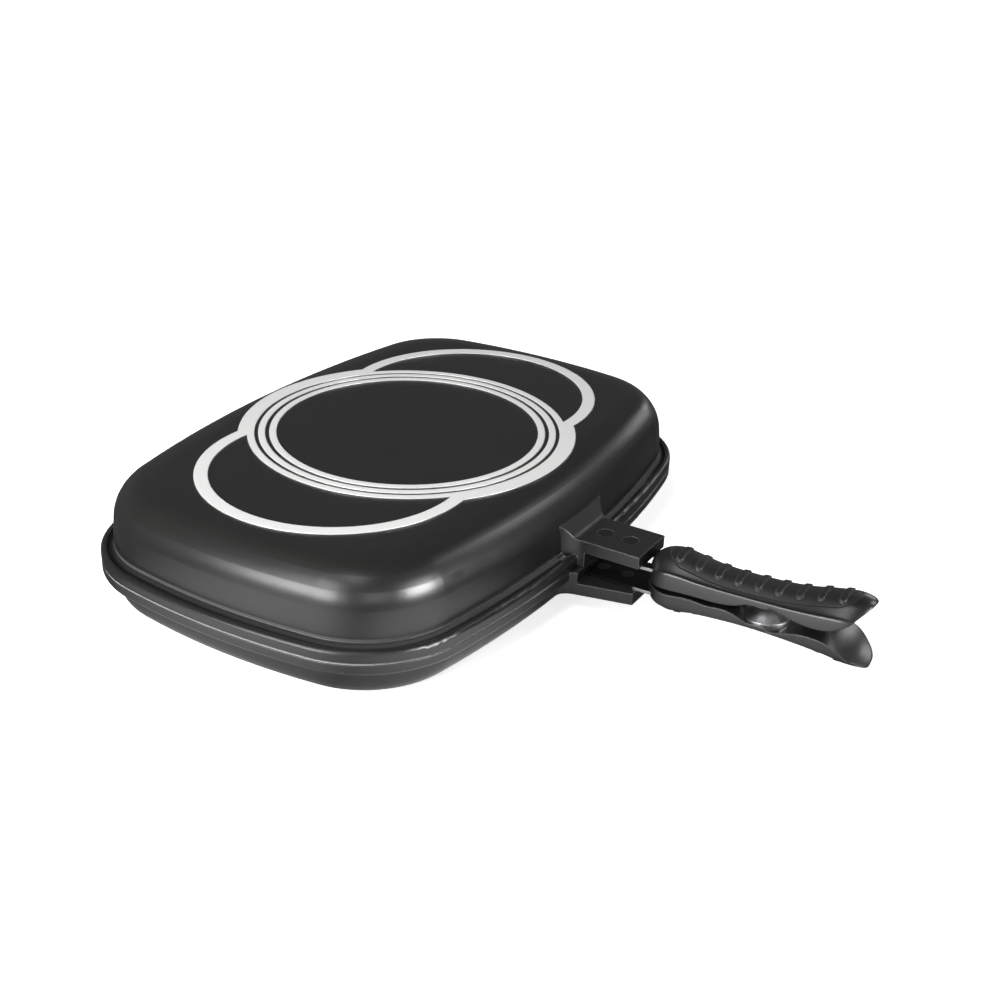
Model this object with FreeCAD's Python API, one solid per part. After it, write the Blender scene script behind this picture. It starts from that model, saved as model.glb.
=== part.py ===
"""Double sided flip pan: a deep and a shallow cast pan that close on each other.

Millimetres. X runs from the hinges to the grips, Y along the long sides and Z up.
The origin is under the middle of the pans, on the surface that the shallow pan stands on.
Every piece is drawn about the parting plane and lifted by the shallow pan's height at the end.
"""
import FreeCAD, Part
import math
import os

from FreeCAD import Placement, Rotation, Vector

# Outline of the lip, seen from above
half_depth = 126.2
half_width = 180.0
side_bow = 674.0
end_bow = 401.0
corner_radius = 65.6

# Heights of the two pans above and below the parting plane
deep_height = 46.0
shallow_height = 25.2

# Walls of both castings
wall = 3.0
base = 4.5
wall_inset = 7.5
deep_dome_run = 30.4
shallow_dome_run = 10.3
deep_square_share = 2.9
shallow_square_share = 2.4
dome_steps = 5
floor_overlap = 4.0

# Lip of both castings: insets from the outline and heights from the parting plane
rim_gap = 0.4
rim_chamfer = 0.5
lip_side = 4.6
crest_inset = 3.1
crest_height = 6.7
valley_inset = 5.0
valley_height = 5.4
ledge_inset = 6.8
ledge_height = 7.9
wall_foot = 8.2

# Seal in the shallow pan's rim
seal_inset = 3.5
seal_width = 3.2
seal_groove_depth = 2.6
seal_proud = 0.2
seal_clearance = 0.1

# Machined lands on the outside of both bases
land_rise = 0.6
inner_ring_radius = 77.2
inner_ring_width = 4.1
middle_ring_radius = 83.7
middle_ring_width = 4.0
outer_ring_radius = 89.9
outer_ring_width = 4.2
outer_ring_flare = 5.3
crescent_offset = 68.3
crescent_radius = 71.1
crescent_width = 7.6

# Grill ridges on the shallow pan's floor
ridge_pitch = 14.0
ridge_width = 4.4
ridge_height = 3.0
ridge_top_round = 1.4
ridge_margin = 5.0

# Cast lugs that carry the grips
lug_reach = 36.8
shallow_lug_setback = 2.0
lug_half_width = 16.0
lug_thickness = 7.1
deep_lug_height = 9.1
shallow_lug_height = 6.9
lug_root_inset = 9.9
deep_flare_reach = 3.1
deep_flare_inset = 8.6
deep_flare_spread = 7.6
deep_root_spread = 9.5
shallow_lug_taper = 7.7
shallow_flare_reach = 2.3
shallow_flare_inset = 6.5
shallow_flare_spread = 16.0
shallow_root_spread = 22.0
lug_climb_slope_deg = 52.0
lug_climb_round = 5.0
lug_climb_bite = 0.2
deep_lug_climb = 8.8
shallow_lug_climb = 4.2
web_reach = 3.7

# Steel tangs between the lugs and the grips
tang_thickness = 1.8
tang_half_width = 11.5
tang_root_gap = 0.6
tang_in_grip = 45.0
tang_clearance = 0.1
window_half_width = 5.3
window_round = 1.5
window_under_lug = 1.0
window_in_grip = 3.0

# Rivets through lug and tang
rivet_radius = 2.5
rivet_head_radius = 4.5
rivet_head_height = 1.6
rivet_foot_radius = 3.6
rivet_foot_depth = 1.1
rivet_clearance = 0.05
rivet_seat_clearance = 0.15
rivet_end_margin = 3.8
rivet_pitch = 15.4

# Grips
grip_length = 128.0
grip_gap = 1.0
grip_lift_deg = 1.8
grip_half_width = 15.4
deep_grip_height = 18.6
shallow_grip_height = 16.0
grip_side_share = 0.14
grip_square_share = 2.25
grip_cutter_share = 1.2

# Inside of each grip: place along it, distance from the middle plane and hollow across it,
# as shares of the grip's length, the deep grip's height and that height
inner_shares = [
    (-0.016, 0.055, 0.001),
    (0.060, 0.060, 0.001),
    (0.160, 0.078, 0.001),
    (0.270, 0.081, 0.001),
    (0.370, 0.081, 0.001),
    (0.430, 0.150, 0.001),
    (0.500, 0.320, 0.001),
    (0.562, 0.385, 0.001),
    (0.630, 0.320, 0.001),
    (0.690, 0.200, 0.002),
    (0.740, 0.158, 0.006),
    (0.790, 0.155, 0.016),
    (0.830, 0.190, 0.045),
]

# Spoon-shaped tails of that space in the two grips, in the same shares
deep_spoon_shares = [
    (0.875, 0.300, 0.085),
    (0.920, 0.490, 0.120),
    (0.965, 0.715, 0.130),
    (1.016, 0.970, 0.130),
]
shallow_spoon_shares = [
    (0.875, 0.300, 0.085),
    (0.920, 0.490, 0.120),
    (0.965, 0.665, 0.130),
    (1.000, 0.790, 0.130),
    (1.050, 0.960, 0.130),
]

# Place along the grip, half width and height, as shares of the grip's length, half width and height
grip_shares = [
    (0.004, 0.24, 0.42),
    (0.022, 0.57, 0.72),
    (0.060, 0.87, 0.93),
    (0.115, 1.00, 1.02),
    (0.160, 1.00, 1.01),
    (0.260, 0.98, 0.86),
    (0.480, 0.94, 0.77),
    (0.700, 1.00, 0.87),
]

# Tails of the two grips, in the same shares: the upper one closes sooner
deep_tail_shares = [
    (0.850, 1.04, 1.08),
    (0.920, 0.98, 1.11),
    (0.960, 0.84, 1.07),
    (0.985, 0.60, 0.98),
    (1.000, 0.34, 0.86),
]
shallow_tail_shares = [
    (0.850, 1.06, 1.08),
    (0.920, 1.10, 1.11),
    (0.970, 1.06, 1.09),
    (1.005, 0.92, 1.06),
    (1.028, 0.72, 1.02),
]

# Soft pad let into the back of each grip, with ribs across it
pad_start = 12.0
pad_end_margin = 10.0
pad_half_width = 10.6
pad_thickness = 1.3
pad_sink = 0.25
pad_clearance = 0.1
rib_count = 9
rib_first_margin = 7.4
rib_last_margin = 7.8
rib_width = 3.6
rib_half_length = 8.6
deep_rib_rise = 0.6
shallow_rib_rise = 0.2

# Round boss, magnet and cap in each scoop
boss_place_share = 0.534
boss_radius = 15.4
boss_sink = 5.6
boss_height = 6.0
cap_radius = 13.0
cap_sink = 1.0
cap_edge_sink = 4.6
cap_seat_clearance = 0.1
magnet_radius = 8.0
magnet_thickness = 2.5
magnet_cover = 1.2

# Screws that hold each grip on its tang
grip_screw_first = 20.0
grip_screw_pitch = 18.0
grip_screw_radius = 2.0
grip_screw_head_radius = 3.8
grip_screw_head_height = 2.2
grip_screw_sink = 0.3
screw_slot_width = 1.0
screw_slot_depth = 0.9
insert_radius = 3.2
insert_length = 3.0
insert_clearance = 0.05

# Hinges
hinge_spread = 52.0
hinge_reach = 9.0
hinge_root_inset = 11.0
knuckle_radius = 7.0
knuckle_length = 16.0
ear_thickness = 6.0
ear_gap = 0.4
open_limit_deg = 100.0
stop_thickness = 4.3
stop_low = 6.0
stop_high = 7.0
stop_clearance = 0.2
pin_radius = 3.0
pin_clearance = 0.05
pin_head_radius = 4.8
pin_head_height = 1.8
pin_tail = 2.6
clip_radius = 5.2
clip_thickness = 1.0
clip_groove_depth = 0.6
clip_mouth_share = 0.75

# Cuts run past the faces that they open by this much
overrun = 2.0

UP = Vector(0, 0, 1)
ALONG_X = Vector(1, 0, 0)
ALONG_Y = Vector(0, 1, 0)

# Values that follow from the ones above
rim_plane = rim_gap / 2
lug_end = half_depth + lug_reach
shallow_lug_end = lug_end - shallow_lug_setback
grip_start = lug_end + grip_gap
tang_start = half_depth + web_reach + tang_root_gap
rivet_places = [tang_start + rivet_end_margin, tang_start + rivet_end_margin + rivet_pitch]
boss_place = grip_length * boss_place_share
pad_end = grip_length - pad_end_margin
rib_first = pad_start + rib_first_margin
rib_pitch = (pad_end - rib_last_margin - rib_first) / (rib_count - 1)
grip_screw_places = [grip_screw_first, grip_screw_first + grip_screw_pitch]
inner_slit = deep_grip_height * max(row[1] for row in inner_shares[:5])
hinge_x = -(half_depth + hinge_reach)
hinge_root = hinge_root_inset - half_depth
deep_form = (deep_height, deep_dome_run, deep_square_share)
shallow_form = (shallow_height, shallow_dome_run, shallow_square_share)
deep_grip_form = (deep_grip_height, grip_shares + deep_tail_shares, inner_shares + deep_spoon_shares)
shallow_grip_form = (shallow_grip_height, grip_shares + shallow_tail_shares,
                     inner_shares + shallow_spoon_shares)
deep_flare = (deep_flare_reach, 0, deep_flare_inset, deep_flare_spread, deep_root_spread)
shallow_flare = (shallow_flare_reach, shallow_lug_taper, shallow_flare_inset, shallow_flare_spread,
                 shallow_root_spread)


def box(x, y, z):
    """Block between the lowest and highest values on each axis."""
    return Part.makeBox(x[1] - x[0], y[1] - y[0], z[1] - z[0], Vector(x[0], y[0], z[0]))


def disc(x, y, z, radius, height):
    """Upright cylinder."""
    return Part.makeCylinder(radius, height, Vector(x, y, z), UP)


def joined(shapes):
    return shapes[0].fuse(shapes[1:]).removeSplitter()


def mirrored(shape):
    """The same piece on the other side of the parting plane."""
    return shape.mirror(Vector(0, 0, 0), UP)


def across(point):
    """Same point on the other side of the middle line between the hinges and the grips."""
    return Vector(point.x, -point.y, point.z)


def mirrored_across(shape):
    return shape.mirror(Vector(0, 0, 0), ALONG_Y)


def corner_centre():
    """Centre of the corner arc that is tangent to a side arc and an end arc."""
    side = Vector(half_depth - side_bow, 0, 0)
    end = Vector(0, half_width - end_bow, 0)
    to_side = side_bow - corner_radius
    to_end = end_bow - corner_radius
    across = end - side
    span = across.Length
    along = (span ** 2 + to_side ** 2 - to_end ** 2) / (2 * span)
    off = math.sqrt(to_side ** 2 - along ** 2)
    unit = across / span
    left = Vector(-unit.y, unit.x, 0)
    return side + unit * along + left * off


def outline_arcs():
    """The lip's eight tangent arcs: centre, radius, start and turn in degrees."""
    corner = corner_centre()
    side_half = math.degrees(math.atan2(corner.y, corner.x - half_depth + side_bow))
    end_start = math.degrees(math.atan2(corner.y - half_width + end_bow, corner.x))
    arcs = []
    for quarter, flip in ((0, 1), (180, -1)):
        arcs.append((Vector(flip * (half_depth - side_bow), 0, 0), side_bow, quarter - side_half, 2 * side_half))
        arcs.append((corner * flip, corner_radius, quarter + side_half, end_start - side_half))
        arcs.append((Vector(0, flip * (half_width - end_bow), 0), end_bow,
                     quarter + end_start, 180 - 2 * end_start))
        arcs.append((Vector(-flip * corner.x, flip * corner.y, 0), corner_radius,
                     quarter + 180 - end_start, end_start - side_half))
    return arcs


def polar(centre, radius, degrees, z):
    angle = math.radians(degrees)
    return Vector(centre.x + radius * math.cos(angle), centre.y + radius * math.sin(angle), z)


def arc_leaving(start, direction, end):
    """Arc that leaves its start in a given direction and runs to its end."""
    chord = end - start
    across = chord - direction * chord.dot(direction)
    centre = start + across * (chord.dot(chord) / (2 * across.dot(across)))
    spokes = (start - centre) + (end - centre)
    middle = centre + spokes.normalize() * (start - centre).Length
    return Part.Arc(start, middle, end).toShape()


def around(profile):
    """Carry a closed profile, drawn as inset and height, round the whole outline."""
    pieces = []
    for centre, radius, start, turn in outline_arcs():
        def place(inset, height):
            return polar(centre, radius - inset, start, height)
        face = Part.Face(Part.Wire(Part.sortEdges(profile(place))[0]))
        pieces.append(face.revolve(centre, UP, turn))
    return joined(pieces)


def plate(inset, low, high):
    """Solid slab inside the outline."""
    edges = []
    for centre, radius, start, turn in outline_arcs():
        size = radius - inset
        ends = [polar(centre, size, start + turn * share, low) for share in (0, 0.5, 1)]
        edges.append(Part.Arc(*ends).toShape())
    return Part.Face(Part.Wire(edges)).extrude(UP * (high - low))


def line(a, b):
    return Part.LineSegment(a, b).toShape()


def arc(a, b, c):
    return Part.Arc(a, b, c).toShape()


def dome_edges(place, inset, run, foot, top, square_share):
    """Chain of tangent arcs along a superellipse, from the wall's foot to the flat base."""
    edges = []
    point = place(inset, foot)
    heading = UP
    for step in range(1, dome_steps + 1):
        angle = math.pi / 2 * step / dome_steps
        across = 1 - max(0.0, math.cos(angle)) ** (2 / square_share)
        rise = math.sin(angle) ** (2 / square_share)
        target = place(inset + run * across, foot + (top - foot) * rise)
        edges.append(arc_leaving(point, heading, target))
        chord = (target - point).normalize()
        heading = chord * (2 * chord.dot(heading)) - heading
        point = target
    return edges


def shell_profile(height, run, square_share):
    """Closed section of a pan's wall, from the rim to the middle of the base."""
    top = height - land_rise
    inner = wall_inset + wall
    core = inner + run + floor_overlap

    def draw(place):
        rim = place(rim_chamfer, rim_plane)
        lip = [place(0, rim_plane + rim_chamfer), place(0, lip_side)]
        crest = place(crest_inset, crest_height)
        valley = place(valley_inset, valley_height)
        ledge = place(ledge_inset, ledge_height)
        foot = place(wall_inset, wall_foot)
        return [
            line(rim, lip[0]),
            line(lip[0], lip[1]),
            arc_leaving(lip[1], UP, crest),
            arc(crest, valley, ledge),
            line(ledge, foot),
            line(place(wall_inset + run, top), place(core, top)),
            line(place(core, top), place(core, top - base)),
            line(place(core, top - base), place(inner + run, top - base)),
            line(place(inner, wall_foot), place(inner, rim_plane)),
            line(place(inner, rim_plane), rim),
        ] + dome_edges(place, wall_inset, run, wall_foot, top, square_share) + dome_edges(
            place, inner, run, wall_foot, top - base, square_share)
    return draw


def pan_shell(height, run, square_share):
    top = height - land_rise
    core = wall_inset + wall + run + floor_overlap
    ring = around(shell_profile(height, run, square_share))
    return joined([ring, plate(core, top - base, top)])


def annulus(radius, width, low, rise):
    return disc(0, 0, low, radius + width, rise).cut(disc(0, 0, low, radius, rise))


def lands(height):
    """Three rings and two crescents, raised from the base and faced off bare."""
    low = height - land_rise - base / 2
    rise = land_rise + base / 2
    outer_edge = outer_ring_radius + outer_ring_width
    spread = disc(0, 0, low, outer_edge + outer_ring_flare, rise)
    for side in (-1, 1):
        spread = spread.fuse(disc(0, side * crescent_offset, low, crescent_radius + crescent_width, rise))
    for side in (-1, 1):
        spread = spread.cut(disc(0, side * crescent_offset, low, crescent_radius, rise))
    spread = spread.cut(disc(0, 0, low, outer_edge, rise))
    rings = [
        annulus(outer_ring_radius, outer_ring_width, low, rise),
        annulus(middle_ring_radius, middle_ring_width, low, rise),
        annulus(inner_ring_radius, inner_ring_width, low, rise),
    ]
    return [spread] + rings


def flared(far_x, flare):
    """Plan of a tongue that widens to the lip, turns outward there and runs on to its root."""
    reach, taper, inset, spread, root_spread = flare
    far = Vector(far_x, lug_half_width, 0)
    straight = Vector(half_depth + reach, lug_half_width + taper, 0)
    turn = Vector(half_depth - inset, lug_half_width + spread, 0)
    root = Vector(half_depth - lug_root_inset, lug_half_width + root_spread, 0)
    half = [line(far, straight), arc_leaving(straight, (straight - far).normalize(), turn),
            line(turn, root)]
    other = [mirrored_across(edge) for edge in half]
    ends = [line(across(root), root), line(across(far), far)]
    return Part.Face(Part.Wire(Part.sortEdges(half + other + ends)[0]))


def web(height, flare):
    """Thickening of the lip under a lug, with the lug's own flare."""
    wide = lug_half_width + flare[-1]
    front = half_depth + web_reach
    plan = flared(lug_end, flare)
    plan.translate(UP * rim_plane)
    block = box((half_depth - lug_root_inset, front), (-wide, wide), (rim_plane, height + overrun))
    return plan.extrude(UP * (height - rim_plane + overrun)).common(block)


def wall_face(z, height, run, square_share):
    """Distance from the middle to the outside of the wall at a height."""
    share = (z - wall_foot) / (height - land_rise - wall_foot)
    return half_depth - wall_inset - run * (1 - (1 - share ** square_share) ** (1 / square_share))


def lug(height, climb, form, flare, far_x):
    """Tongue with its climb up the wall, and the web that joins it to the lip."""
    top = height + lug_thickness
    root = half_depth - lug_root_inset
    slope = math.radians(lug_climb_slope_deg)
    tangent = lug_climb_round * math.tan(slope / 2)
    high = Vector(wall_face(top + climb, *form) - lug_climb_bite, 0, top + climb)
    corner = Vector(high.x + climb / math.tan(slope), 0, top)
    foot = corner + ALONG_X * tangent
    ramp = corner + Vector(-math.cos(slope), 0, math.sin(slope)) * tangent
    points = [ramp, high, Vector(root, 0, top + climb), Vector(root, 0, height),
              Vector(far_x, 0, height), Vector(far_x, 0, top), foot]
    edges = [line(a, b) for a, b in zip(points, points[1:])]
    edges.append(arc_leaving(foot, -ALONG_X, ramp))
    side_face = Part.Face(Part.Wire(Part.sortEdges(edges)[0]))
    reach = lug_half_width + flare[-1] + overrun
    side_face.translate(Vector(0, -reach, 0))
    side = side_face.extrude(ALONG_Y * (2 * reach))
    plan = flared(far_x, flare).extrude(UP * (top + climb))
    return joined([side.common(plan), web(height, flare)])


def rivet_holes(height):
    """Shank holes through a lug, with round seats for the flush heads."""
    top = height + lug_thickness
    seat = rivet_head_height + rivet_seat_clearance
    cuts = []
    for x in rivet_places:
        cuts.append(disc(x, 0, height - overrun, rivet_radius + rivet_clearance, lug_thickness + 2 * overrun))
        cuts.append(disc(x, 0, top - seat, rivet_head_radius + rivet_seat_clearance, seat + overrun))
    return joined(cuts)


def lug_rivets(height, side):
    """Two rivets: flush head in the lug, countersunk foot in the tang."""
    top = height + lug_thickness
    under = height - tang_thickness
    rivets = []
    for x in rivet_places:
        shank = disc(x, 0, under, rivet_radius, top - under - rivet_seat_clearance)
        head = disc(x, 0, top - rivet_head_height - rivet_seat_clearance, rivet_head_radius, rivet_head_height)
        foot = Part.makeCone(rivet_foot_radius, rivet_radius, rivet_foot_depth, Vector(x, 0, under), UP)
        rivets.append(joined([shank, head, foot]))
    return on_side(Part.makeCompound(rivets), side)


def on_side(shape, side):
    """Leave a piece above the parting plane or turn it over to the lower side."""
    return shape if side > 0 else mirrored(shape)


def grip_frame():
    """Placement of a grip: at the lug's end, rising a little towards the tail."""
    return Placement(Vector(grip_start, 0, 0), Rotation(ALONG_Y, -grip_lift_deg))


def in_grip(shape, side):
    """Set a piece drawn along the grip's own middle plane into the frame."""
    piece = on_side(shape, side)
    piece.Placement = grip_frame().multiply(piece.Placement)
    return piece


def tang_window(low, high):
    """Round-cornered opening that keeps heat from the grip, between the lug and the grip."""
    near = lug_end - window_under_lug
    far = grip_start + window_in_grip
    inner = window_half_width - window_round
    corners = [disc(x, y, low, window_round, high - low)
               for x in (near + window_round, far - window_round) for y in (-inner, inner)]
    return joined([
        box((near + window_round, far - window_round), (-window_half_width, window_half_width), (low, high)),
        box((near, far), (-inner, inner), (low, high)),
    ] + corners)


def tang(height, side):
    """Flat steel strap, bent slightly where it enters the grip; the upper one has a window."""
    lift = math.radians(grip_lift_deg)
    turned = grip_frame()
    levels = [side * (height - tang_thickness), side * height]
    starts = [Vector(tang_start, 0, level) for level in levels]
    bends = [Vector(grip_start - level * math.tan(lift / 2), 0, level) for level in levels]
    ends = [turned.multVec(Vector(tang_in_grip, 0, level)) for level in levels]
    outline = [starts[0], bends[0], ends[0], ends[1], bends[1], starts[1]]
    strap = flat_polygon(outline, -tang_half_width, 2 * tang_half_width)
    low = height - tang_thickness - overrun
    through = tang_thickness + 2 * overrun
    for x in rivet_places:
        strap = strap.cut(on_side(disc(x, 0, low, rivet_radius + rivet_clearance, through), side))
        sink = Part.makeCone(rivet_foot_radius + rivet_clearance, rivet_radius + rivet_clearance,
                             rivet_foot_depth, Vector(x, 0, height - tang_thickness), UP)
        strap = strap.cut(on_side(sink, side))
    for place in grip_screw_places:
        strap = strap.cut(in_grip(disc(place, 0, low, grip_screw_radius + insert_clearance, through), side))
    return strap.cut(tang_window(low, low + through)) if side > 0 else strap


def grip_section(place, half, height):
    """D-shaped section of a grip: flat side on the middle plane, crowned top."""
    side = height * grip_side_share
    crown = height - side
    points = []
    steps = 6
    for step in range(steps + 1):
        angle = math.pi * step / steps
        across = math.cos(angle)
        rise = math.sin(angle)
        y = half * math.copysign(abs(across) ** (2 / grip_square_share), across)
        points.append(Vector(place, y, side + crown * max(0.0, rise) ** (2 / grip_square_share)))
    curve = Part.BSplineCurve()
    curve.interpolate(Points=points, InitialTangent=UP, FinalTangent=-UP)
    right = Vector(place, half, 0)
    left = Vector(place, -half, 0)
    return Part.Wire([line(right, points[0]), curve.toShape(), line(points[-1], left), line(left, right)])


def grip_body(form, swell):
    """Outer form of a grip, grown or shrunk by a swell."""
    tall, outer_rows, _ = form
    sections = []
    for place_share, width_share, height_share in outer_rows:
        half = grip_half_width * width_share + swell
        sections.append(grip_section(grip_length * place_share, half, tall * height_share + swell))
    return Part.makeLoft(sections, True, False)


def inner_section(place_share, level_share, hollow_share):
    """Section of the space inside a grip, closed well below the middle plane."""
    place = grip_length * place_share
    half = grip_half_width * grip_cutter_share
    level = deep_grip_height * level_share
    rise = deep_grip_height * hollow_share * grip_cutter_share ** 2
    right = Vector(place, half, level)
    left = Vector(place, -half, level)
    low_right = Vector(place, half, -overrun)
    low_left = Vector(place, -half, -overrun)
    return Part.Wire([arc(right, Vector(place, 0, level + rise), left), line(left, low_left),
                      line(low_left, low_right), line(low_right, right)])


def inner_cut(form):
    """Space between the grips: thin slit, scoop, heel and the spoon-shaped tail."""
    return Part.makeLoft([inner_section(*row) for row in form[2]], True, False)


def stadium(start, end, half, low, high):
    """Round-ended upright block along the grip."""
    round_part = [disc(place, 0, low, half, high - low) for place in (start + half, end - half)]
    return joined([box((start + half, end - half), (-half, half), (low, high))] + round_part)


def rib(place):
    """Round-ended bar across the grip."""
    half = rib_width / 2
    straight = rib_half_length - half
    high = deep_grip_height * 2
    bar = box((place - half, place + half), (-straight, straight), (boss_sink, high))
    ends = [disc(place, side * straight, boss_sink, half, high - boss_sink) for side in (-1, 1)]
    return joined([bar] + ends)


def pad_space(clearance):
    """Room for the pad, seen from above the grip."""
    return stadium(pad_start - clearance, pad_end + clearance, pad_half_width + clearance,
                   boss_sink, deep_grip_height * 2)


def grip_pad(form, rise, side):
    """Soft pad that follows the grip's back, with nine ribs across it."""
    bars = [rib(rib_first + index * rib_pitch) for index in range(rib_count)]
    ribs = grip_body(form, rise).common(joined(bars))
    pad = grip_body(form, -pad_sink).common(pad_space(0)).fuse(ribs)
    return in_grip(pad.cut(grip_body(form, pad_clearance / 2 - pad_thickness)).removeSplitter(), side)


def boss():
    """Round boss that stands in the scoop under the magnet cap."""
    return disc(boss_place, 0, boss_sink, boss_radius, boss_height)


def cap_seat():
    radius = cap_radius + cap_seat_clearance
    depth = magnet_cover + magnet_thickness
    low = cap_edge_sink
    return joined([
        disc(boss_place, 0, -overrun, radius, low + magnet_cover + overrun + cap_seat_clearance),
        disc(boss_place, 0, low, magnet_radius + cap_seat_clearance, depth + 2 * cap_seat_clearance),
    ])


def magnet_cap(side):
    """Crowned round cap over the magnet, nearly touching the one opposite."""
    rise = cap_edge_sink - cap_sink
    crown = (cap_radius ** 2 + rise ** 2) / (2 * rise)
    ball = Part.makeSphere(crown, Vector(boss_place, 0, cap_sink + crown))
    dome = ball.common(disc(boss_place, 0, cap_sink - overrun, cap_radius, rise + overrun))
    skirt = disc(boss_place, 0, cap_edge_sink, cap_radius, magnet_cover)
    return in_grip(joined([dome, skirt]), side)


def magnet(side):
    low = cap_edge_sink + magnet_cover
    return in_grip(disc(boss_place, 0, low, magnet_radius, magnet_thickness), side)


def grip_screw(place, height):
    """Countersunk screw from the inner face, through the tang, into its insert."""
    low = inner_slit + grip_screw_sink
    cone = Part.makeCone(grip_screw_head_radius, grip_screw_radius, grip_screw_head_height,
                         Vector(place, 0, low), UP)
    shank = disc(place, 0, low, grip_screw_radius, height + insert_length - low)
    half = screw_slot_width / 2
    reach = grip_screw_head_radius + overrun
    slot = box((place - half, place + half), (-reach, reach), (low - overrun, low + screw_slot_depth))
    return cone.fuse(shank).cut(slot).removeSplitter()


def grip_screws(height, side):
    return in_grip(Part.makeCompound([grip_screw(place, height) for place in grip_screw_places]), side)


def insert(place, height):
    low = height + tang_clearance
    body = disc(place, 0, low, insert_radius, insert_length)
    return body.cut(disc(place, 0, low - overrun, grip_screw_radius + insert_clearance,
                         insert_length + 2 * overrun))


def grip_inserts(height, side):
    return in_grip(Part.makeCompound([insert(place, height) for place in grip_screw_places]), side)


def grip_hollows(height):
    """Slot for the tang, seats for inserts and screws."""
    half = tang_half_width + tang_clearance
    low = height - tang_thickness - tang_clearance
    cuts = [box((-overrun, tang_in_grip + tang_clearance), (-half, half), (low, height + tang_clearance))]
    for place in grip_screw_places:
        cuts.append(disc(place, 0, height, insert_radius + insert_clearance,
                         tang_clearance + insert_length + insert_clearance))
        cuts.append(disc(place, 0, -overrun, grip_screw_radius + insert_clearance, height + overrun))
        cuts.append(Part.makeCone(grip_screw_head_radius + insert_clearance,
                                  grip_screw_radius + insert_clearance, grip_screw_head_height,
                                  Vector(place, 0, inner_slit + grip_screw_sink), UP))
        cuts.append(disc(place, 0, -overrun, grip_screw_head_radius + insert_clearance,
                         inner_slit + grip_screw_sink + overrun))
    return joined(cuts)


def grip(height, form, side):
    """Moulded grip with its scoop, boss, spoon tail and the seats inside."""
    body = grip_body(form, 0)
    hollowed = body.cut(inner_cut(form))
    solid = hollowed.fuse(boss().common(body)).removeSplitter()
    pocket = pad_space(pad_clearance).cut(grip_body(form, -pad_thickness))
    solid = solid.cut(cap_seat()).cut(grip_hollows(height)).cut(pocket)
    return in_grip(solid, side)


def hinge_knuckles():
    """The deep pan's half of both hinges."""
    parts = []
    for side in (-1, 1):
        low_y = side * hinge_spread - knuckle_length / 2
        barrel = Part.makeCylinder(knuckle_radius, knuckle_length, Vector(hinge_x, low_y, 0), ALONG_Y)
        arm = box((hinge_x, hinge_root), (low_y, low_y + knuckle_length), (rim_plane, knuckle_radius))
        parts.append(joined([barrel, arm]))
    return parts


def stop_corner(along, off):
    """Point of the stop block, turned with the opening angle about the hinge axis."""
    turn = math.radians(open_limit_deg)
    x = along * math.cos(turn) - off * math.sin(turn)
    z = along * math.sin(turn) + off * math.cos(turn)
    return Vector(hinge_x + x, 0, z)


def flat_polygon(points, y, width):
    wire = Part.makePolygon(points + [points[0]])
    face = Part.Face(wire)
    face.translate(Vector(0, y, 0))
    return face.extrude(ALONG_Y * width)


def hinge_ears():
    """The shallow pan's half of both hinges: two ears and the stop between them."""
    near = knuckle_radius + stop_clearance
    far = near + stop_thickness
    block = [stop_corner(-stop_low, near), stop_corner(stop_high, near),
             stop_corner(stop_high, far), stop_corner(-stop_low, far)]
    cheek = [Vector(hinge_x, 0, -knuckle_radius), block[3], block[2], block[1],
             Vector(hinge_x, 0, knuckle_radius - stop_clearance)]
    inner = knuckle_length / 2 + ear_gap
    parts = []
    for side in (-1, 1):
        middle = side * hinge_spread
        pieces = [flat_polygon(block, middle - inner, 2 * inner)]
        for low_y in (middle - inner - ear_thickness, middle + inner):
            pieces.append(Part.makeCylinder(knuckle_radius, ear_thickness, Vector(hinge_x, low_y, 0), ALONG_Y))
            arm_y = (low_y, low_y + ear_thickness)
            pieces.append(box((hinge_x, hinge_root), arm_y, (-knuckle_radius, -rim_plane)))
            pieces.append(flat_polygon(cheek, low_y, ear_thickness))
        parts.append(joined(pieces))
    return parts


def hinge_bores():
    half = knuckle_length / 2 + ear_gap + ear_thickness + overrun
    bores = []
    for side in (-1, 1):
        start = Vector(hinge_x, side * hinge_spread - half, 0)
        bores.append(Part.makeCylinder(pin_radius + pin_clearance, 2 * half, start, ALONG_Y))
    return bores


def hinge_pin(side):
    """Headed pin with a groove for its clip. The head faces away from the middle."""
    half = knuckle_length / 2 + ear_gap + ear_thickness
    tail = half + pin_clearance + pin_tail
    centre = Vector(hinge_x, side * hinge_spread, 0)
    outward = ALONG_Y * side
    shank = Part.makeCylinder(pin_radius, half + tail, centre - outward * tail, outward)
    head = Part.makeCylinder(pin_head_radius, pin_head_height, centre + outward * half, outward)
    pin = joined([shank, head])
    groove_start = centre - outward * (half + pin_clearance + clip_thickness)
    ring = Part.makeCylinder(pin_radius + overrun, clip_thickness, groove_start, outward)
    core = Part.makeCylinder(pin_radius - clip_groove_depth, clip_thickness, groove_start, outward)
    return pin.cut(ring.cut(core))


def pin_clip(side):
    """Spring clip in the pin's groove, open at the bottom."""
    half = knuckle_length / 2 + ear_gap + ear_thickness
    inner = pin_radius - clip_groove_depth + pin_clearance
    outward = ALONG_Y * side
    start = Vector(hinge_x, side * hinge_spread, 0) - outward * (half + pin_clearance + clip_thickness)
    ring = Part.makeCylinder(clip_radius, clip_thickness, start, outward)
    bore = Part.makeCylinder(inner, clip_thickness, start, outward)
    mouth = inner * clip_mouth_share
    y = sorted((start.y, start.y + side * clip_thickness))
    gap = box((hinge_x - mouth, hinge_x + mouth), y, (-clip_radius - overrun, 0))
    return ring.cut(bore).cut(gap)


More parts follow.
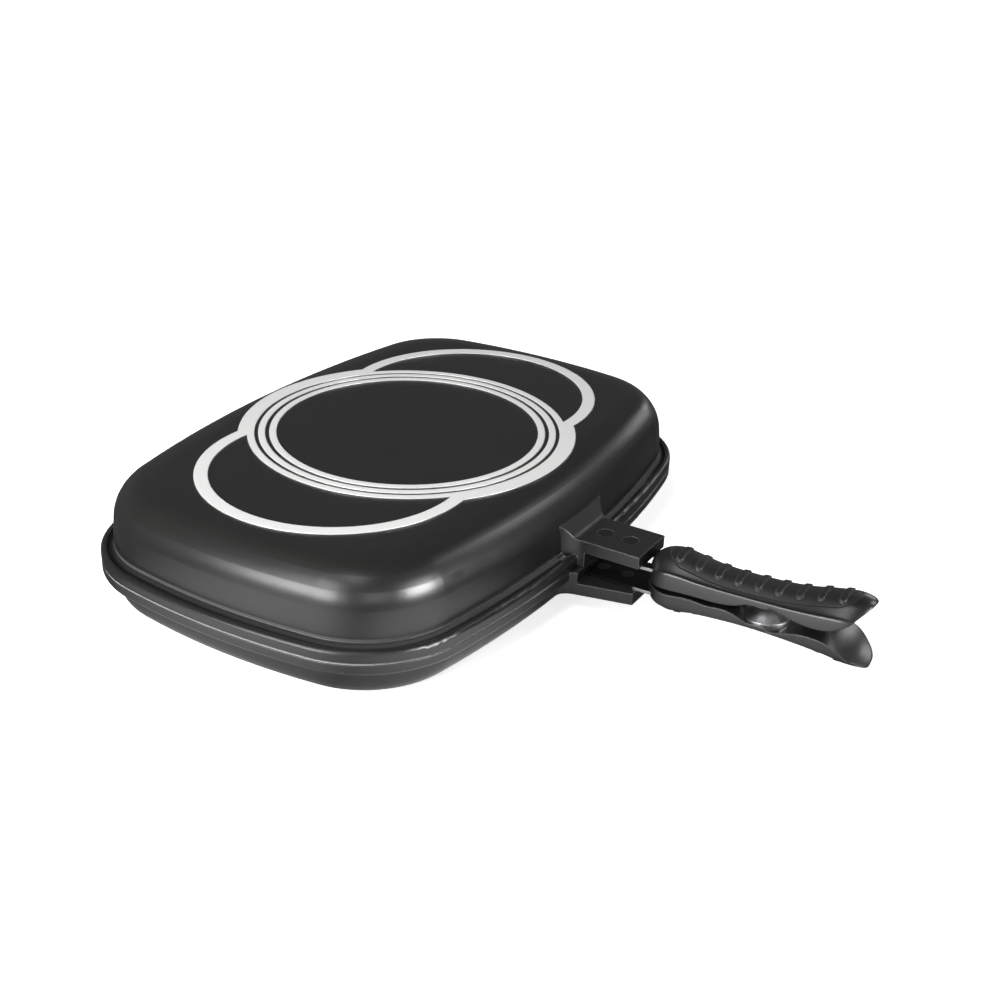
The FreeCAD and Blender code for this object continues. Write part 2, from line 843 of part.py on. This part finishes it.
def seal_section(place):
    """Cross-section of the seal, a little proud of the rim."""
    low = -rim_plane - seal_groove_depth + seal_clearance
    high = -rim_plane + seal_proud
    start = seal_inset + seal_clearance
    corners = [place(start, low), place(start + seal_width, low),
               place(start + seal_width, high), place(start, high)]
    return [line(a, b) for a, b in zip(corners, corners[1:] + corners[:1])]


def seal_groove(place):
    width = seal_width + 2 * seal_clearance
    low = -rim_plane - seal_groove_depth
    corners = [place(seal_inset, low), place(seal_inset + width, low),
               place(seal_inset + width, overrun), place(seal_inset, overrun)]
    return [line(a, b) for a, b in zip(corners, corners[1:] + corners[:1])]


def grill_ridges():
    """Parallel ridges on the shallow pan's floor, cut to the floor's outline."""
    floor = shallow_height - land_rise - base
    margin = wall_inset + wall + shallow_dome_run + ridge_margin
    reach = half_width - margin
    count = int(reach // ridge_pitch)
    half = ridge_width / 2
    flat = half - ridge_top_round
    bars = []
    for index in range(-count, count + 1):
        y = index * ridge_pitch
        top = floor - ridge_height
        shoulder = top + ridge_top_round
        points = [Vector(-half_depth, y - half, floor + base / 2), Vector(-half_depth, y - half, shoulder),
                  Vector(-half_depth, y - flat, top), Vector(-half_depth, y + flat, top),
                  Vector(-half_depth, y + half, shoulder), Vector(-half_depth, y + half, floor + base / 2)]
        face = Part.Face(Part.makePolygon(points + [points[0]]))
        bars.append(face.extrude(ALONG_X * (2 * half_depth)))
    limit = plate(margin, floor - ridge_height - overrun, floor + base / 2)
    return Part.makeCompound(bars).common(limit).Solids


def deep_pan():
    tongue = lug(deep_lug_height, deep_lug_climb, deep_form, deep_flare, lug_end)
    casting = [pan_shell(*deep_form), tongue]
    pan = joined(casting + lands(deep_height) + hinge_knuckles())
    return pan.cut(rivet_holes(deep_lug_height)).cut(Part.makeCompound(hinge_bores()))


def shallow_pan():
    tongue = lug(shallow_lug_height, shallow_lug_climb, shallow_form, shallow_flare,
                 shallow_lug_end)
    casting = [pan_shell(*shallow_form), tongue]
    pan = joined(casting + lands(shallow_height) + grill_ridges())
    pan = mirrored(pan.cut(rivet_holes(shallow_lug_height)))
    pan = joined([pan] + hinge_ears()).cut(around(seal_groove))
    return pan.cut(Part.makeCompound(hinge_bores()))


def save(name, shape):
    lifted = shape.copy()
    lifted.translate(UP * shallow_height)
    lifted.exportStep("parts/" + name + ".step")


def main():
    os.makedirs("parts", exist_ok=True)
    save("upper_pan", deep_pan())
    save("lower_pan", shallow_pan())
    save("seal_gasket", around(seal_section))
    for name, side, height, form, rise in (
            ("upper", 1, deep_lug_height, deep_grip_form, deep_rib_rise),
            ("lower", -1, shallow_lug_height, shallow_grip_form, shallow_rib_rise)):
        save(name + "_lug_rivets", lug_rivets(height, side))
        save(name + "_tang", tang(height, side))
        save(name + "_grip", grip(height, form, side))
        save(name + "_grip_pad", grip_pad(form, rise, side))
        save(name + "_grip_screws", grip_screws(height, side))
        save(name + "_grip_inserts", grip_inserts(height, side))
        save(name + "_magnet", magnet(side))
        save(name + "_magnet_cap", magnet_cap(side))
    for name, side in (("left", -1), ("right", 1)):
        save(name + "_hinge_pin", hinge_pin(side))
        save(name + "_pin_clip", pin_clip(side))


main()
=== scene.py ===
"""Looks of a double sided flip pan: coated cast pans, black straps and ribbed grips."""

import math

import bpy
from mathutils import Matrix, Vector

MM = 0.001

# Heights of the plane where the pans meet and of the deep pan's base
PARTING = 25.2 * MM
TOP = 71.2 * MM

# Outline of the lip: half sizes, bow of the sides and ends, and the corners
HALF_X, HALF_Y = 126.2 * MM, 180.0 * MM
SIDE_BOW, END_BOW, CORNER = 674.0 * MM, 401.0 * MM, 65.6 * MM
SIDE_CENTRE = Vector((HALF_X - SIDE_BOW, 0, 0))
END_CENTRE = Vector((0, HALF_Y - END_BOW, 0))

# Channel between lip and wall, painted with shade, and the wall's foot beside it, painted with a highlight
# line:
# depth inside the outline and height off the parting plane, each with its reach
CHANNEL_DEPTH, CHANNEL_HEIGHT = (5.4 * MM, 2.1 * MM), (6.6 * MM, 1.8 * MM)
FOOT_DEPTH, FOOT_HEIGHT = (8.4 * MM, 1.1 * MM), (9.0 * MM, 1.0 * MM)

# Half widths of the grip lugs, where they cross the channel
DEEP_LUG, SHALLOW_LUG = 26 * MM, 39 * MM

# Bare metal: reach of the base lands and of the rim about their planes, and where the rim ends at the lug
LAND_REACH, RIM_REACH = 0.3 * MM, 0.4 * MM
RIM_END = (125 * MM, 124 * MM)

# The strap's cut edges, and where its coat is cut away outside the lug
STRAP_EDGE = (11.42 * MM, 11.48 * MM)
STRAP_BARE = (158 * MM, 161 * MM)

# The middle part of a noise's range, over which colour and gloss change
TONE_RANGE = (0.3, 0.7)

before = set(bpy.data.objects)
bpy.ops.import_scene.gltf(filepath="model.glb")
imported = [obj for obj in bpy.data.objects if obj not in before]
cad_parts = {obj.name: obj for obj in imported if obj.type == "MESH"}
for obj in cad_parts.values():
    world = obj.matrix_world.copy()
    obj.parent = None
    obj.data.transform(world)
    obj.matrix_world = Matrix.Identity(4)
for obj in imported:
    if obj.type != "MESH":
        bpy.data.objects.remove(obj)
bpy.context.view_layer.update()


def grey(level):
    return (level, level, level, 1)


# Small builders for shader trees

def new_node(tree, kind, links=None, **settings):
    """Node with its settings; each input takes another node's output or a plain value."""
    node = tree.nodes.new(kind)
    for name, value in settings.items():
        setattr(node, name, value)
    for socket, value in (links or {}).items():
        if isinstance(value, bpy.types.NodeSocket):
            tree.links.new(value, node.inputs[socket])
        else:
            node.inputs[socket].default_value = value
    return node


def maths(tree, operation, first, second=0.0, clamp=False):
    node = new_node(tree, "ShaderNodeMath", {0: first, 1: second}, operation=operation, use_clamp=clamp)
    return node.outputs[0]


def vector_maths(tree, operation, first, second=None):
    links = {0: first} if second is None else {0: first, 1: second}
    return new_node(tree, "ShaderNodeVectorMath", links, operation=operation).outputs


def ramp(tree, value, low, high, to_low=0.0, to_high=1.0):
    node = new_node(tree, "ShaderNodeMapRange",
                    {"Value": value, "From Min": low, "From Max": high, "To Min": to_low, "To Max": to_high})
    return node.outputs["Result"]


def by_tone(tree, tone, low, high):
    """Value that drifts with the broad unevenness of a finish."""
    return ramp(tree, tone, *TONE_RANGE, low, high)


def band(tree, value, level, reach):
    """One where a value lies within a reach of a level, else zero."""
    fade = 0.8
    away = maths(tree, "ABSOLUTE", maths(tree, "SUBTRACT", value, level))
    return ramp(tree, away, reach, reach * fade)


def mix_value(tree, factor, first, second):
    return new_node(tree, "ShaderNodeMix", {0: factor, 2: first, 3: second}).outputs[0]


def mix_colour(tree, factor, first, second):
    return new_node(tree, "ShaderNodeMix", {0: factor, 6: first, 7: second}, data_type="RGBA").outputs[2]


def mix_shader(tree, factor, first, second):
    return new_node(tree, "ShaderNodeMixShader", {0: factor, 1: first, 2: second}).outputs[0]


def object_place(tree):
    return new_node(tree, "ShaderNodeTexCoord").outputs["Object"]


def split(tree, vector):
    return new_node(tree, "ShaderNodeSeparateXYZ", {0: vector}).outputs


def join(tree, x, y):
    return new_node(tree, "ShaderNodeCombineXYZ", {0: x, 1: y}).outputs[0]


# Effects that several finishes share

def group(name, inputs, outputs):
    tree = bpy.data.node_groups.new(name, "ShaderNodeTree")
    for socket, value in inputs:
        item = tree.interface.new_socket(socket, in_out="INPUT", socket_type="NodeSocketFloat")
        item.default_value = value
    for socket, kind in outputs:
        tree.interface.new_socket(socket, in_out="OUTPUT", socket_type=kind)
    return tree, tree.nodes.new("NodeGroupInput").outputs, tree.nodes.new("NodeGroupOutput").inputs


def make_coating_grain():
    """Fine orange peel with scattered lighter specks, as on a sprayed non-stick coat."""
    fine_detail, blotch_scale, blotch_detail = 3.0, 14.0, 4.0
    speck_edge = (0.16, 0.06)
    tree, given, out = group(
        "coating_grain", [("Scale", 900.0), ("Speck", 0.3)],
        [("Height", "NodeSocketFloat"), ("Tone", "NodeSocketFloat"), ("Speck", "NodeSocketFloat")])
    place = object_place(tree)
    fine = new_node(tree, "ShaderNodeTexNoise",
                    {"Vector": place, "Scale": given["Scale"], "Detail": fine_detail})
    broad = new_node(tree, "ShaderNodeTexNoise",
                     {"Vector": place, "Scale": blotch_scale, "Detail": blotch_detail})
    dots = new_node(tree, "ShaderNodeTexVoronoi", {"Vector": place, "Scale": given["Scale"]})
    speck = ramp(tree, dots.outputs["Distance"], *speck_edge)
    tree.links.new(fine.outputs[0], out["Height"])
    tree.links.new(broad.outputs[0], out["Tone"])
    tree.links.new(maths(tree, "MULTIPLY", speck, given["Speck"]), out["Speck"])
    return tree


def make_soft_edge():
    """Rounded normal for cast or cut edges, with a mask that is high along them."""
    alike, turned_away = 0.99, 0.8
    tree, given, out = group(
        "soft_edge", [("Radius", 0.5 * MM)], [("Normal", "NodeSocketVector"), ("Edge", "NodeSocketFloat")])
    rounded = new_node(tree, "ShaderNodeBevel", {"Radius": given["Radius"]}, samples=4).outputs[0]
    flat = new_node(tree, "ShaderNodeNewGeometry").outputs["Normal"]
    same = vector_maths(tree, "DOT_PRODUCT", rounded, flat)["Value"]
    tree.links.new(rounded, out["Normal"])
    tree.links.new(ramp(tree, same, alike, turned_away), out["Edge"])
    return tree


def make_turned_marks():
    """Circular tool marks about the vertical middle line."""
    uneven_scale = 1.3
    tree, given, out = group(
        "turned_marks", [("Pitch", 0.4 * MM)], [("Height", "NodeSocketFloat"), ("Tone", "NodeSocketFloat")])
    axes = split(tree, object_place(tree))
    radius = vector_maths(tree, "LENGTH", join(tree, axes[0], axes[1]))["Value"]
    turns = maths(tree, "DIVIDE", radius, given["Pitch"])
    wave = maths(tree, "SINE", maths(tree, "MULTIPLY", turns, 2 * math.pi))
    uneven = new_node(tree, "ShaderNodeTexNoise", {"W": turns, "Scale": uneven_scale}, noise_dimensions="1D")
    tree.links.new(wave, out["Height"])
    tree.links.new(uneven.outputs[0], out["Tone"])
    return tree


def corner_centre():
    """Centre of the corner arc that is tangent to a side arc and an end arc."""
    across = END_CENTRE - SIDE_CENTRE
    to_side, to_end = SIDE_BOW - CORNER, END_BOW - CORNER
    along = (across.length_squared + to_side ** 2 - to_end ** 2) / (2 * across.length)
    off = math.sqrt(to_side ** 2 - along ** 2)
    unit = across.normalized()
    return SIDE_CENTRE + unit * along + Vector((-unit.y, unit.x, 0)) * off


def make_lip_channel():
    """Masks for the painted shade in the channel between lip and wall and for the painted highlight line at
    the wall's foot, on both pans.
    """
    tree, given, out = group(
        "lip_channel", [("Lug Half Width", DEEP_LUG)],
        [("Mask", "NodeSocketFloat"), ("Foot", "NodeSocketFloat")])
    axes = split(tree, object_place(tree))
    beside = maths(tree, "ABSOLUTE", axes[1])
    folded = join(tree, maths(tree, "ABSOLUTE", axes[0]), beside)

    def from_centre(centre):
        return vector_maths(tree, "SUBTRACT", folded, tuple(centre))["Vector"]

    def inset(centre, radius):
        return maths(tree, "SUBTRACT", radius, vector_maths(tree, "LENGTH", from_centre(centre))["Value"])

    def beyond(ray, corner):
        """One on the left of a ray that leaves the corner's centre."""
        turned = (-ray.y, ray.x, 0)
        side = vector_maths(tree, "DOT_PRODUCT", from_centre(corner), turned)["Value"]
        return maths(tree, "GREATER_THAN", side)

    corner = corner_centre()
    bows = maths(tree, "MINIMUM", inset(SIDE_CENTRE, SIDE_BOW), inset(END_CENTRE, END_BOW))
    in_corner = maths(tree, "MULTIPLY",
                      beyond(corner - SIDE_CENTRE, corner), beyond(END_CENTRE - corner, corner))
    depth = mix_value(tree, in_corner, bows, inset(corner, CORNER))
    height = maths(tree, "ABSOLUTE", maths(tree, "SUBTRACT", axes[2], PARTING))
    lug_end = maths(tree, "ADD", given["Lug Half Width"], MM)
    off_lug = maths(tree, "MAXIMUM", ramp(tree, beside, given["Lug Half Width"], lug_end),
                    maths(tree, "LESS_THAN", axes[0], 0.0))
    # The channel ring masks painted shade, and the foot ring masks a painted highlight line.
    rings = (("Mask", CHANNEL_DEPTH, CHANNEL_HEIGHT), ("Foot", FOOT_DEPTH, FOOT_HEIGHT))
    for socket, depth_band, height_band in rings:
        ring = maths(tree, "MULTIPLY", band(tree, depth, *depth_band), band(tree, height, *height_band))
        tree.links.new(maths(tree, "MULTIPLY", ring, off_lug), out[socket])
    return tree


coating_grain = make_coating_grain()
soft_edge = make_soft_edge()
turned_marks = make_turned_marks()
lip_channel = make_lip_channel()


# Finishes

def start_material(name, metallic=0.0, specular=0.5):
    material = bpy.data.materials.new(name)
    material.use_nodes = True
    tree = material.node_tree
    shader = tree.nodes["Principled BSDF"]
    shader.inputs["Metallic"].default_value = metallic
    shader.inputs["Specular IOR Level"].default_value = specular
    return material, tree, shader


def placed(tree, which, values):
    """An effect set into a material with its own values."""
    node = tree.nodes.new("ShaderNodeGroup")
    node.node_tree = which
    for name, value in values.items():
        node.inputs[name].default_value = value
    return node.outputs


def grain_and_edge(tree, grain_scale, speck, edge_radius):
    return (placed(tree, coating_grain, {"Scale": grain_scale, "Speck": speck}),
            placed(tree, soft_edge, {"Radius": edge_radius}))


def add_bump(tree, shader, height, normal, strength, distance):
    bump = new_node(tree, "ShaderNodeBump",
                    {"Strength": strength, "Distance": distance, "Height": height, "Normal": normal})
    tree.links.new(bump.outputs[0], shader.inputs["Normal"])


def coated_casting(name, land_level, lug_half_width):
    """Charcoal coat over cast aluminium; the base lands and the rim are bare. The lip's channel gets painted
    shade, near black, and the edges and the wall's foot get painted highlights in grey.
    """
    highlight_grey, channel_shade_colour = (0.12, 0.117, 0.113, 1), grey(0.001)
    edge_highlight, foot_highlight, channel_shade_strength, channel_rough = 0.8, 0.5, 0.9, 0.5
    rim_bare, land_metallic = 0.5, 0.35
    material, tree, shader = start_material(name)
    axes = split(tree, object_place(tree))
    grain, edge = grain_and_edge(tree, 1500.0, 0.25, 1.0 * MM)
    marks = placed(tree, turned_marks, {"Pitch": 0.5 * MM})
    lip = placed(tree, lip_channel, {"Lug Half Width": lug_half_width})
    channel = lip["Mask"]

    land = band(tree, axes[2], land_level, LAND_REACH)
    rim = maths(tree, "MULTIPLY", band(tree, axes[2], PARTING, RIM_REACH), ramp(tree, axes[0], *RIM_END))
    bare = maths(tree, "MAXIMUM", land, maths(tree, "MULTIPLY", rim, rim_bare), clamp=True)

    coat = mix_colour(tree, grain["Tone"], (0.010, 0.0097, 0.0094, 1), (0.014, 0.0136, 0.0132, 1))
    coat = mix_colour(tree, grain["Speck"], coat, (0.035, 0.034, 0.033, 1))
    # Painted highlight: the edges outside the channel and the wall's foot are lightened to grey.
    painted_highlight = maths(tree, "MULTIPLY", edge["Edge"], ramp(tree, channel, 0.0, 1.0, edge_highlight, 0.0))
    painted_highlight = maths(tree, "MAXIMUM", painted_highlight, maths(tree, "MULTIPLY", lip["Foot"], foot_highlight))
    coat = mix_colour(tree, painted_highlight, coat, highlight_grey)
    # Painted shade: the lip's channel is darkened to near black.
    coat = mix_colour(tree, maths(tree, "MULTIPLY", channel, channel_shade_strength), coat, channel_shade_colour)
    metal = mix_colour(tree, marks["Tone"], (0.90, 0.90, 0.89, 1), (0.97, 0.97, 0.96, 1))
    tree.links.new(mix_colour(tree, bare, coat, metal), shader.inputs["Base Color"])
    tree.links.new(maths(tree, "MULTIPLY", bare, land_metallic), shader.inputs["Metallic"])

    coat_rough = maths(tree, "ADD", by_tone(tree, grain["Tone"], 0.28, 0.34),
                       maths(tree, "MULTIPLY", channel, channel_rough))
    metal_rough = by_tone(tree, marks["Tone"], 0.32, 0.45)
    tree.links.new(mix_value(tree, bare, coat_rough, metal_rough), shader.inputs["Roughness"])
    height = mix_value(tree, land, grain["Height"], marks["Height"])
    add_bump(tree, shader, height, edge["Normal"], 0.06, 0.2 * MM)
    return material


def moulded(name, colour, high_colour, rough, grain_scale, bump, edge_radius, painted_highlight=0.25, specular=0.5):
    """Moulded plastic or rubber with a fine grain and soft edges that carry a painted highlight."""
    speck, edge_gain, rough_drift = 0.1, 4, 0.06
    material, tree, shader = start_material(name, specular=specular)
    grain, edge = grain_and_edge(tree, grain_scale, speck, edge_radius)
    base = mix_colour(tree, grain["Tone"], colour, high_colour)
    # Painted highlight: the edges are lightened toward four times the grain's lighter tone.
    edge_highlight_colour = tuple(edge_gain * c for c in high_colour[:3]) + (1,)
    tree.links.new(mix_colour(tree, maths(tree, "MULTIPLY", edge["Edge"], painted_highlight), base, edge_highlight_colour),
                   shader.inputs["Base Color"])
    tree.links.new(by_tone(tree, grain["Tone"], rough, rough + rough_drift), shader.inputs["Roughness"])
    add_bump(tree, shader, grain["Height"], edge["Normal"], bump, 0.2 * MM)
    return material


def black_strap(name):
    """Black coated steel strap, bare on its cut edges where it leaves the lug."""
    cut_steel = (0.34, 0.34, 0.35, 1)
    material, tree, shader = start_material(name, specular=0.12)
    axes = split(tree, object_place(tree))
    grain, edge = grain_and_edge(tree, 2500.0, 0.1, 0.3 * MM)
    side = ramp(tree, maths(tree, "ABSOLUTE", axes[1]), *STRAP_EDGE)
    cut = maths(tree, "MULTIPLY", side, ramp(tree, axes[0], *STRAP_BARE))
    black = mix_colour(tree, grain["Tone"], grey(0.0015), grey(0.003))
    tree.links.new(mix_colour(tree, cut, black, cut_steel), shader.inputs["Base Color"])
    tree.links.new(cut, shader.inputs["Metallic"])
    tree.links.new(by_tone(tree, grain["Tone"], 0.38, 0.46), shader.inputs["Roughness"])
    add_bump(tree, shader, grain["Height"], edge["Normal"], 0.04, 0.1 * MM)
    return material


def plain_metal(name, colour, rough, edge_radius=0.2 * MM):
    """Bright turned or plated metal."""
    dull, rough_drift = 0.85, 0.1
    material, tree, shader = start_material(name, metallic=1.0)
    grain, edge = grain_and_edge(tree, 3000.0, 0.1, edge_radius)
    low = tuple(dull * c for c in colour[:3]) + (1,)
    tree.links.new(mix_colour(tree, grain["Tone"], low, colour), shader.inputs["Base Color"])
    tree.links.new(by_tone(tree, grain["Tone"], rough, rough + rough_drift), shader.inputs["Roughness"])
    tree.links.new(edge["Normal"], shader.inputs["Normal"])
    return material


# By node name, or by the last word of it where several nodes share a finish
finishes = {
    "upper_pan": coated_casting("deep_pan_coat", TOP, DEEP_LUG),
    "lower_pan": coated_casting("shallow_pan_coat", 0.0, SHALLOW_LUG),
    "tang": black_strap("strap_black"),
    "grip": moulded("grip_plastic", grey(0.005), grey(0.008), rough=0.28, grain_scale=1800.0, bump=0.05,
                    edge_radius=1.0 * MM, painted_highlight=1.0, specular=0.75),
    "pad": moulded("pad_rubber", (0.010, 0.010, 0.0105, 1), (0.016, 0.016, 0.0165, 1), rough=0.36,
                   grain_scale=1400.0, bump=0.25, edge_radius=0.9 * MM, painted_highlight=2.0, specular=0.4),
    "cap": plain_metal("cap_satin_steel", (0.62, 0.62, 0.63, 1), rough=0.24, edge_radius=0.5 * MM),
    "gasket": moulded("seal_silicone", grey(0.03), grey(0.045), rough=0.6, grain_scale=1200.0, bump=0.1,
                      edge_radius=0.3 * MM),
    "rivets": moulded("rivet_black", grey(0.006), grey(0.010), rough=0.35, grain_scale=2200.0, bump=0.03,
                      edge_radius=0.4 * MM, specular=0.3),
    "inserts": plain_metal("insert_brass", (0.72, 0.53, 0.22, 1), rough=0.25),
    "screws": plain_metal("screw_zinc", (0.62, 0.62, 0.63, 1), rough=0.28),
    "pin": plain_metal("pin_steel", (0.60, 0.60, 0.61, 1), rough=0.26),
    "clip": plain_metal("clip_steel", (0.45, 0.45, 0.46, 1), rough=0.30),
    "magnet": plain_metal("magnet_nickel", (0.66, 0.65, 0.62, 1), rough=0.2),
}


def finish_of(node):
    if node in finishes:
        return finishes[node]
    return finishes[node.split("_")[-1]]


for name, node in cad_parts.items():
    for item in node.material_slots:
        item.material = finish_of(name)


# Floor, backdrop, light and camera

WHITE = grey(1)

# White cards that gloss mirrors from the floor: middle, reach of the plain white and of its fading edge
CARDS = [((0.0, -0.30, 0.0), 0.06, 0.17), ((0.21, -0.16, 0.0), 0.06, 0.16)]
FLOOR_MIRRORED = (0.10, 2.15)

# White screens that gloss mirrors from the low backdrop: directions and the height where they end
SCREENS_DEG = [-100, 2]
SCREEN_EDGE = (0.74, 0.96)
SCREEN_HEIGHT = 0.30
BACKDROP_MIRRORED = (0.08, 1.3)
ROOM_LIGHT = 0.13

# The floor's glow for the camera, from beside the pan to the far floor: distances, then strengths
FLOOR_GLOW = (0.5, 1.6, 0.78, 1.0)


def make_floor():
    """Pale matt floor that keeps the pan's shadow; gloss mirrors the white cards instead."""
    reach, tone, rough = 4.0, 0.82, 0.9
    mesh = bpy.data.meshes.new("floor")
    corners = [(-reach, -reach, 0), (reach, -reach, 0), (reach, reach, 0), (-reach, reach, 0)]
    mesh.from_pydata(corners, [], [(0, 1, 2, 3)])
    floor = bpy.data.objects.new("floor", mesh)
    bpy.context.scene.collection.objects.link(floor)
    material, tree, shader = start_material("floor_white", specular=0.0)
    shader.inputs["Base Color"].default_value = grey(tone)
    shader.inputs["Roughness"].default_value = rough
    place = object_place(tree)
    path = new_node(tree, "ShaderNodeLightPath").outputs
    away = vector_maths(tree, "LENGTH", place)["Value"]
    glow = maths(tree, "MULTIPLY", ramp(tree, away, *FLOOR_GLOW), path["Is Camera Ray"])
    lift = new_node(tree, "ShaderNodeEmission", {"Color": WHITE, "Strength": glow})
    seen = new_node(tree, "ShaderNodeAddShader", {0: shader.outputs[0], 1: lift.outputs[0]})
    cards = [ramp(tree, vector_maths(tree, "DISTANCE", place, middle)["Value"], edge, white)
             for middle, white, edge in CARDS]
    shine = ramp(tree, maths(tree, "MAXIMUM", *cards), 0.0, 1.0, *FLOOR_MIRRORED)
    mirrored = new_node(tree, "ShaderNodeEmission", {"Color": WHITE, "Strength": shine})
    tree.links.new(mix_shader(tree, path["Is Glossy Ray"], seen.outputs[0], mirrored.outputs[0]),
                   tree.nodes["Material Output"].inputs["Surface"])
    mesh.materials.append(material)


def make_world():
    """Dim room; the camera sees it white, and gloss mirrors white screens low on the backdrop."""
    world = bpy.data.worlds.new("studio")
    world.use_nodes = True
    tree = world.node_tree
    dim = tree.nodes["Background"]
    dim.inputs["Color"].default_value = WHITE
    dim.inputs["Strength"].default_value = ROOM_LIGHT
    white = new_node(tree, "ShaderNodeBackground", {"Color": WHITE, "Strength": 1.0})
    path = new_node(tree, "ShaderNodeLightPath").outputs
    aim = new_node(tree, "ShaderNodeTexCoord").outputs["Generated"]
    flat = vector_maths(tree, "MULTIPLY", aim, (1.0, 1.0, 0.0))["Vector"]
    level = vector_maths(tree, "NORMALIZE", flat)["Vector"]
    screens = []
    for azimuth in SCREENS_DEG:
        middle = (math.cos(math.radians(azimuth)), math.sin(math.radians(azimuth)), 0)
        screens.append(ramp(tree, vector_maths(tree, "DOT_PRODUCT", level, middle)["Value"], *SCREEN_EDGE))
    low = maths(tree, "MULTIPLY", ramp(tree, split(tree, aim)[2], SCREEN_HEIGHT, 0.0), path["Is Glossy Ray"])
    shine = ramp(tree, maths(tree, "MAXIMUM", *screens), 0.0, 1.0, *BACKDROP_MIRRORED)
    shown = maths(tree, "MAXIMUM", path["Is Camera Ray"], maths(tree, "MULTIPLY", low, shine), clamp=True)
    tree.links.new(mix_shader(tree, shown, dim.outputs[0], white.outputs[0]),
                   tree.nodes["World Output"].inputs["Surface"])
    bpy.context.scene.world = world


def soft_box(name, place, aim, width, height, power, mirrored=True, plain=True):
    """Rectangular lamp; it may be left out of what gloss mirrors or of the plain light."""
    data = bpy.data.lights.new(name, "AREA")
    data.shape = "RECTANGLE"
    data.size = width
    data.size_y = height
    data.energy = power
    lamp = bpy.data.objects.new(name, data)
    lamp.location = place
    lamp.rotation_euler = (Vector(aim) - Vector(place)).to_track_quat("-Z", "Y").to_euler()
    lamp.visible_glossy = mirrored
    lamp.visible_diffuse = plain
    lamp.visible_camera = False
    bpy.context.scene.collection.objects.link(lamp)


def make_camera():
    """Camera fitted to the photograph: its place, the way it faces, its slight roll and its lens."""
    place = Vector((438.7, -638.2, 408.4)) * MM
    back = Vector((0.45293, -0.77337, 0.44349)).normalized()
    roll = math.radians(2.102)
    level = (-back).cross(Vector((0, 0, 1))).normalized()
    upright = level.cross(-back)
    right = math.cos(roll) * level + math.sin(roll) * upright
    up = -math.sin(roll) * level + math.cos(roll) * upright
    data = bpy.data.cameras.new("view")
    data.lens = 51.14
    data.sensor_width = 36.0
    data.clip_start = 0.01
    camera = bpy.data.objects.new("view", data)
    turn = Matrix((right, up, back)).transposed()
    camera.matrix_world = Matrix.Translation(place) @ turn.to_4x4()
    bpy.context.scene.collection.objects.link(camera)
    bpy.context.scene.camera = camera


make_floor()
make_world()
make_camera()

# Lamps: place, aim, width, height and power
soft_box("front_left", (-0.20, -1.19, 0.335), (0, -0.15, 0.05), 0.7, 0.35, 15.0)
soft_box("front_corner", (0.85, -0.95, 0.42), (0.08, -0.15, 0.05), 0.5, 0.4, 1.9, plain=False)
soft_box("front_near", (0.0, -0.50, 0.32), (0.15, -0.08, 0.05), 0.2, 0.12, 0.6)
soft_box("front_top", (0.13, -0.38, 0.51), (0.24, 0, 0.04), 0.22, 0.16, 0.4)
soft_box("top", (-0.12, -0.58, 1.05), (0.15, 0, 0.05), 0.9, 0.5, 10.5, mirrored=False)
soft_box("back", (0.24, 1.01, 0.31), (0.2, 0, 0.04), 0.3, 0.2, 0.6)
soft_box("back_right", (0.67, 0.73, 0.70), (0.28, 0, 0.02), 0.25, 0.35, 1.6)
soft_box("right", (1.15, -0.07, 0.38), (0.1, -0.13, 0.05), 0.6, 0.35, 25.0, plain=False)

bpy.context.scene.view_settings.view_transform = "Standard"
